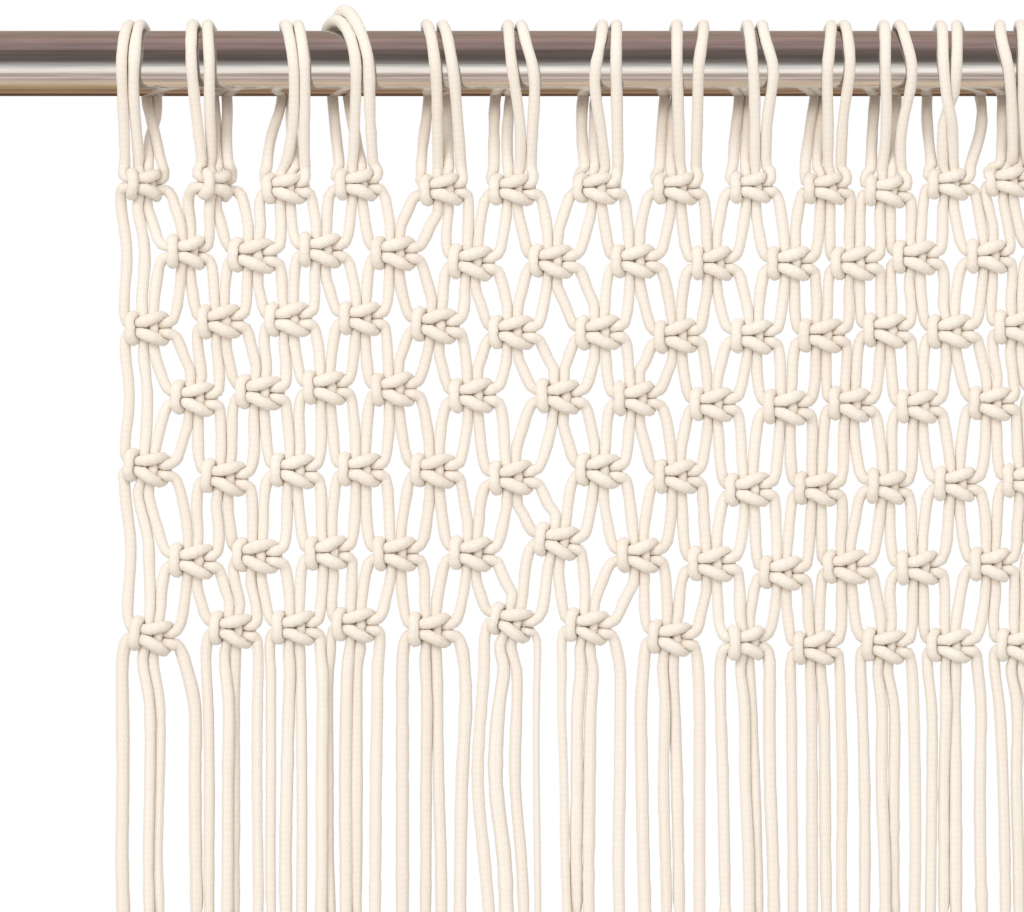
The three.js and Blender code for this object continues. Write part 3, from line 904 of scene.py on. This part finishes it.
def close_ends(mesh):
    """Closes the two ends of every tube with a flat face that has a sharp rim."""
    work = bmesh.new()
    work.from_mesh(mesh)
    for face in work.faces:
        face.smooth = True
    rims = [edge for edge in work.edges if edge.is_boundary]
    caps = bmesh.ops.holes_fill(work, edges=rims, sides=0)["faces"]
    for cap in caps:
        cap.smooth = False
        for edge in cap.edges:
            edge.smooth = False
    work.to_mesh(mesh)
    work.free()


def add_piece(name, mesh, slot, *nodes):
    """A piece of the part, which stands for those nodes."""
    piece = add_object(name, mesh)
    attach(piece, "root")
    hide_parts(*nodes)


def make_cord_pieces(node, threads, pieces, sides, settings):
    """The threads as a few pieces side by side, which together stand for one node."""
    material = bpy.data.materials.get("braided_cotton") or cotton_material(settings)
    for number in range(pieces):
        first = round(COLUMNS * number / pieces)
        last = round(COLUMNS * (number + 1) / pieces)
        name = f"{node}_{number + 1}"
        mesh = tube_mesh(name, [thread for column, thread in threads if first <= column < last], sides)
        mesh.materials.append(material)
        add_piece(name, mesh, "cotton_cord", node)


def both_ways(operation):
    """The two forms of a sum: a wire and another value, and the other value and the wire."""
    return (lambda wire, other: wire.maths(operation, wire, other),
            lambda wire, other: wire.maths(operation, other, wire))


class Wire:
    """A shader socket that can be used in sums."""

    def __init__(self, shader, socket):
        self.shader = shader
        self.socket = socket

    def maths(self, operation, *values):
        return self.shader.node("Math", {"operation": operation}, dict(enumerate(values)))

    __add__, __radd__ = both_ways("ADD")
    __sub__, __rsub__ = both_ways("SUBTRACT")
    __mul__, __rmul__ = both_ways("MULTIPLY")
    __truediv__, __rtruediv__ = both_ways("DIVIDE")
    __pow__, __rpow__ = both_ways("POWER")

    def at_least(self, other):
        return self.maths("MAXIMUM", self, other)

    def at_most(self, other):
        return self.maths("MINIMUM", self, other)

    def sine(self):
        return self.maths("SINE", self)

    def size(self):
        return self.maths("ABSOLUTE", self)


class Shader:
    """The nodes of one material or of the world."""

    def __init__(self, owner):
        owner.use_nodes = True
        self.tree = owner.node_tree
        self.tree.nodes.clear()

    def node(self, kind, settings=None, sockets=None, output=0):
        node = self.tree.nodes.new("ShaderNode" + kind)
        for name, value in (settings or {}).items():
            if name == "stops":
                fill_ramp(node.color_ramp, value)
            else:
                setattr(node, name, value)
        for name, value in (sockets or {}).items():
            if isinstance(value, Wire):
                self.tree.links.new(value.socket, node.inputs[name])
            else:
                node.inputs[name].default_value = value
        return Wire(self, node.outputs[output]) if len(node.outputs) else None

    def mix(self, factor, first, second):
        return self.node("Mix", {"data_type": "RGBA"}, {0: factor, 6: first, 7: second}, 2)

    def noise(self, place, scale, detail, roughness=0.5):
        return self.node("TexNoise", {"noise_dimensions": "3D"},
                         {"Vector": place, "Scale": scale, "Detail": detail, "Roughness": roughness})

    def attribute(self, name):
        return self.node("Attribute", {"attribute_name": name}, output=2)

    def parts(self, vector):
        return [self.node("SeparateXYZ", {}, {0: vector}, axis) for axis in range(3)]

    def bump(self, strength, height):
        return self.node("Bump", {}, {"Strength": strength, "Distance": BUMP_DEPTH, "Height": height})

    def surface(self, sockets):
        self.node("OutputMaterial", {}, {"Surface": self.node("BsdfPrincipled", {}, sockets)})


def fill_ramp(ramp, stops):
    """Sets a colour ramp's stops, given as places and colours."""
    ramp.interpolation = "LINEAR"
    while len(ramp.elements) > 1:
        ramp.elements.remove(ramp.elements[-1])
    for number, (position, colour) in enumerate(stops):
        element = ramp.elements[0] if number == 0 else ramp.elements.new(position)
        element.position = position
        element.color = colour


def opaque(colour):
    """A colour of three values that covers what is behind it."""
    return (*colour, 1.0)


def screen_colour(*values):
    """A colour from the usual screen values of 0 to 255."""
    shares = (value / 255 for value in values)
    return opaque(part / 12.92 if part <= 0.04045 else ((part + 0.055) / 1.055) ** 2.4 for part in shares)


def cotton_material(settings):
    """Soft braided cotton: cream, a little uneven from cord to cord, with painted warm shade where cords
    press together and under the rod.
    """
    material = bpy.data.materials.new("braided_cotton")
    shader = Shader(material)
    along, around, _ = shader.parts(shader.node("UVMap", {"uv_map": "UVMap"}))
    place = shader.node("TexCoord", output=3)
    tone, crease_shade, under_rod_shade = (shader.attribute(name) for name in ("tone", "crease_shade", "under_rod_shade"))
    plait = around * settings.braid_ends
    within = plait.maths("FRACT", plait)
    lean = (plait * math.pi).sine().maths("SIGN", (plait * math.pi).sine())
    grain = ((along / settings.braid_pitch + (within - 0.5) * lean * PLAIT_LEAN) * math.pi).sine().size()
    braid = (grain * (within * math.pi).sine()) ** 0.5
    fibre = shader.noise(place, FIBRE_SCALE, 3.0, 0.65)
    cloud = shader.noise(place, CLOUD_SCALE, 2.0)
    # The dark colour darkens the plaits' grain and is also the colour of the painted shade
    warm, pale, dark = (opaque(shade) for shade in (
        settings.warm_cotton, settings.pale_cotton, settings.grain_and_shade_colour))
    tinted = shader.mix((tone * CORD_TINT + cloud * CLOUD_TINT).at_most(1.0), warm, pale)
    grained = ((1 - braid) * PLAIT_SHADE + (fibre - 0.5).size() * FIBRE_SHADE).at_most(1.0)
    # Painted shade: warm brown between touching cords, and on the cords behind and under the rod
    deep = (crease_shade ** CREASE_SHADE_FALL) * settings.crease_shade_depth + under_rod_shade * settings.under_rod_shade_depth
    shader.surface({
        "Base Color": shader.mix(deep, shader.mix(grained, tinted, dark), dark),
        "Roughness": 0.9,
        "Specular IOR Level": 0.15,
        "Sheen Weight": 0.25,
        "Sheen Roughness": 0.6,
        "Normal": shader.bump(0.55, braid * PLAIT_RISE + fibre * FIBRE_RISE),
    })
    return material


def steel_material(settings):
    """Brushed steel with fine streaks along the rod."""
    material = bpy.data.materials.new("brushed_steel")
    shader = Shader(material)
    place = shader.node("TexCoord", output=3)
    fine, broad = (shader.noise(shader.node("Mapping", {}, {"Vector": place, "Scale": scale}), 1.0, detail)
                   for scale, detail in STEEL_STROKES)
    strokes = fine * FINE_SHARE + broad * (1 - FINE_SHARE)
    streaks = ((strokes - 0.5) * STREAK_CONTRAST + 0.5).at_least(0.0).at_most(1.0)
    dull = [DULL_STREAK * value for value in settings.steel_colour]
    shader.surface({
        "Base Color": shader.mix(streaks, opaque(dull), opaque(settings.steel_colour)),
        "Metallic": 1.0,
        "Roughness": streaks * ROUGHNESS_SWING + settings.steel_roughness - ROUGHNESS_SWING / 2,
        "Normal": shader.bump(0.1, streaks),
    })
    return material


def floor_material(settings):
    """Plain pale floor."""
    material = bpy.data.materials.new("pale_floor")
    Shader(material).surface({"Base Color": opaque(settings.floor_colour), "Roughness": 0.8})
    return material


def room_light(settings):
    """Soft white light from all round, with the room that a polished rod mirrors."""
    world = bpy.data.worlds.new("room")
    shader = Shader(world)
    _, away, up = shader.parts(shader.node("TexCoord", output=0))
    angle = up.maths("ARCTAN2", up, 0 - away) * (180 / math.pi)
    stops = [((degrees + 180) / 360, screen_colour(*shade)) for degrees, shade in ROUND_THE_ROD]
    mirrored = shader.node("ValToRGB", {"stops": stops}, {"Fac": (angle + 180) / 360})
    seen, glossy = (shader.node("LightPath", output=f"Is {kind} Ray") for kind in ("Camera", "Glossy"))
    behind = (away * 2.0).at_least(0.0).at_most(1.0)
    sky = (1 - behind * settings.sky_fall) * settings.sky_strength
    background = shader.node("Background", {}, {
        "Color": shader.mix(seen, shader.mix(glossy, opaque(SOFT_WHITE), mirrored), opaque((1.0, 1.0, 1.0))),
        "Strength": seen + glossy * MIRROR_STRENGTH + (1 - (seen + glossy).at_most(1.0)) * sky,
    })
    shader.node("OutputWorld", {}, {"Surface": background})
    bpy.context.scene.world = world


def add_area(name, place, target, size, power):
    """A large soft light that the rod doesn't mirror."""
    light = bpy.data.lights.new(name, "AREA")
    light.shape = "RECTANGLE"
    light.size, light.size_y = size
    light.energy = power
    lamp = add_object(name, light)
    lamp.location = place
    lamp.rotation_euler = (Vector(target) - Vector(place)).to_track_quat("-Z", "Y").to_euler()
    lamp.visible_glossy = False


def count_setting(name, description, default, least, most):
    """A whole number that a user may change."""
    return IntProperty(name=name, description=description, default=default, min=least, max=most)


def share_setting(name, description, default):
    """A share, from nothing to all, that a user may change."""
    return FloatProperty(name=name, description=description, default=default, min=0.0, max=1.0,
                         subtype="FACTOR")


def length_setting(name, description, default):
    """A length, in metres, that a user may change."""
    return FloatProperty(name=name, description=description, default=default, min=0.0, unit="LENGTH")


def colour_setting(name, description, default):
    """A colour that a user may change."""
    return FloatVectorProperty(name=name, description=description, default=default, min=0.0, max=1.0, size=3,
                               subtype="COLOR")


class CURTAIN_PG_rod(bpy.types.PropertyGroup):
    """The rod's own settings."""

    sides: count_setting("Sides", "Flat faces round the rod", 128, 24, 256)
    end_bevel: length_setting("End bevel", "How far the rod's cut ends are rounded", 0.0008)
    steel_colour: colour_setting("Steel", "Colour of the steel", (0.66, 0.64, 0.63))
    steel_roughness: share_setting("Steel roughness", "How dull the brushed steel is", 0.1)


class CURTAIN_PG_cord(bpy.types.PropertyGroup):
    """The cord's own settings."""

    net_sides: count_setting("Net sides", "Sides of a cord in the net", 10, 6, 16)
    fringe_sides: count_setting("Fringe sides", "Sides of a cord in the fringe", 8, 6, 16)
    braid_ends: count_setting("Braid ends", "Plaits round the cord", 16, 4, 32)
    braid_pitch: length_setting("Braid pitch", "Length of one plait along the cord", 0.0024)
    pale_cotton: colour_setting("Pale cotton", "The lightest cotton", (0.935, 0.88, 0.80))
    warm_cotton: colour_setting("Warm cotton", "The warmest cotton", (0.885, 0.805, 0.71))
    # The dark colour serves the plaits' grain and the painted shade; the depths set how strong the painted
    # shade is between touching cords and under the rod
    grain_and_shade_colour: colour_setting("Crevices", "Colour between cords that touch", (0.42, 0.26, 0.13))
    crease_shade_depth: share_setting("Crevice depth", "How strongly crevices are tinted", 0.12)
    under_rod_shade_depth: share_setting("Shade under the rod", "How strongly painted shade darkens the cords under the rod", 0.2)


class CURTAIN_PG_stage(bpy.types.PropertyGroup):
    """The floor, the light and the camera."""

    floor_colour: colour_setting("Floor", "Colour of the floor", (0.82, 0.81, 0.79))
    floor_gap: length_setting("Floor gap", "Room between the hem and the floor", 0.03)
    key_power: FloatProperty(name="Key light", description="Power of the large light in front", default=33.5,
                             min=0.0, unit="POWER")
    sky_strength: FloatProperty(name="Room light", description="Strength of the light from all round",
                                default=0.85, min=0.0)
    sky_fall: share_setting("Dimmer behind", "How much less light comes from behind the curtain", 0.22)


class CURTAIN_OT_rod(bpy.types.Operator):
    """Make the steel rod"""

    bl_idname = "curtain.rod"
    bl_label = "Rod"

    def execute(self, context):
        settings = context.scene.curtain_rod
        low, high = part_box("rod")
        radius = (high.z - low.z) / 2
        work = bmesh.new()
        bmesh.ops.create_cone(work, cap_ends=True, segments=settings.sides, radius1=radius, radius2=radius,
                              depth=high.x - low.x)
        rims = [edge for edge in work.edges if len({round(v.co.z, 6) for v in edge.verts}) == 1]
        bmesh.ops.bevel(work, geom=rims, offset=settings.end_bevel, affect="EDGES", segments=BEVEL_STEPS,
                        profile=0.5, material=-1)
        lying = Vector((1, 0, 0)).to_track_quat("Z", "Y").to_matrix()
        bmesh.ops.rotate(work, verts=work.verts, matrix=lying)
        bmesh.ops.recalc_face_normals(work, faces=work.faces)
        for face in work.faces:
            face.smooth = len(face.verts) == 4
        mesh = finished_mesh("curtain_rod", work, steel_material(settings))
        add_piece("curtain_rod", mesh, "brushed_metal", "rod")
        return {"FINISHED"}


class CURTAIN_OT_net(bpy.types.Operator):
    """Make the loops over the rod and the knotted net"""

    bl_idname = "curtain.net"
    bl_label = "Net"

    def execute(self, context):
        settings = context.scene.curtain_cord
        net = net_and_fringe_threads()[0]
        make_cord_pieces("net", net, NET_PIECES, settings.net_sides, settings)
        return {"FINISHED"}


class CURTAIN_OT_fringe(bpy.types.Operator):
    """Make the long fringe under the last row of knots"""

    bl_idname = "curtain.fringe"
    bl_label = "Fringe"

    def execute(self, context):
        settings = context.scene.curtain_cord
        fringe = net_and_fringe_threads()[1]
        make_cord_pieces("fringe", fringe, FRINGE_PIECES, settings.fringe_sides, settings)
        return {"FINISHED"}


class CURTAIN_OT_stage(bpy.types.Operator):
    """Make the floor, the light and the camera"""

    bl_idname = "curtain.stage"
    bl_label = "Stage"

    def execute(self, context):
        settings = context.scene.curtain_stage
        work = bmesh.new()
        bmesh.ops.create_grid(work, x_segments=1, y_segments=1, size=FLOOR_REACH)
        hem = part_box("fringe")[0].z
        bmesh.ops.translate(work, verts=work.verts, vec=(0, 0, hem - settings.floor_gap))
        floor = add_object("floor", finished_mesh("floor", work, floor_material(settings)))
        floor.visible_glossy = False

        room_light(settings)
        add_area("front_light", LIGHT_PLACE, LIGHT_AIM, LIGHT_SIZE, settings.key_power)

        lens = bpy.data.cameras.new("camera")
        lens.sensor_width = SENSOR_WIDTH
        lens.lens = SENSOR_WIDTH * CAMERA_DISTANCE / (PHOTO_WIDTH / PIXELS_PER_MM)
        lens.clip_start, lens.clip_end = CAMERA_CLIP
        camera = add_object("camera", lens)
        camera.location = [value * MM for value in (CAMERA_PLACE[0], -CAMERA_DISTANCE, CAMERA_PLACE[1])]
        camera.rotation_euler = (math.pi / 2, 0, 0)
        context.scene.camera = camera
        context.scene.view_settings.view_transform = "Standard"
        return {"FINISHED"}


class CURTAIN_PT_panel(bpy.types.Panel):
    """Lists what the curtain is made of"""

    bl_label = "Macrame curtain"
    bl_idname = "CURTAIN_PT_panel"
    bl_space_type = "VIEW_3D"
    bl_region_type = "UI"
    bl_category = "Curtain"

    def draw(self, context):
        for group, _, operators in GROUPS:
            box = self.layout.box()
            settings = getattr(context.scene, group)
            for name in settings.bl_rna.properties.keys():
                if name not in {"rna_type", "name"}:
                    box.prop(settings, name)
            for operator in operators:
                box.operator(operator.bl_idname)


# Each group of settings: its name in the scene, its class, and the buttons under it in the panel
GROUPS = (
    ("curtain_rod", CURTAIN_PG_rod, (CURTAIN_OT_rod,)),
    ("curtain_cord", CURTAIN_PG_cord, (CURTAIN_OT_net, CURTAIN_OT_fringe)),
    ("curtain_stage", CURTAIN_PG_stage, (CURTAIN_OT_stage,)),
)
CLASSES = (CURTAIN_PG_rod, CURTAIN_PG_cord, CURTAIN_PG_stage, CURTAIN_OT_rod, CURTAIN_OT_net,
           CURTAIN_OT_fringe, CURTAIN_OT_stage, CURTAIN_PT_panel)


def register():
    for kind in CLASSES:
        bpy.utils.register_class(kind)
    for name, settings, _ in GROUPS:
        setattr(bpy.types.Scene, name, PointerProperty(type=settings))


def unregister():
    for name, _, _ in GROUPS:
        delattr(bpy.types.Scene, name)
    for kind in reversed(CLASSES):
        bpy.utils.unregister_class(kind)


def main():
    register()
    bpy.ops.curtain.stage()
    bpy.ops.curtain.rod()
    bpy.ops.curtain.net()
    bpy.ops.curtain.fringe()


if __name__ == "__main__":
    main()
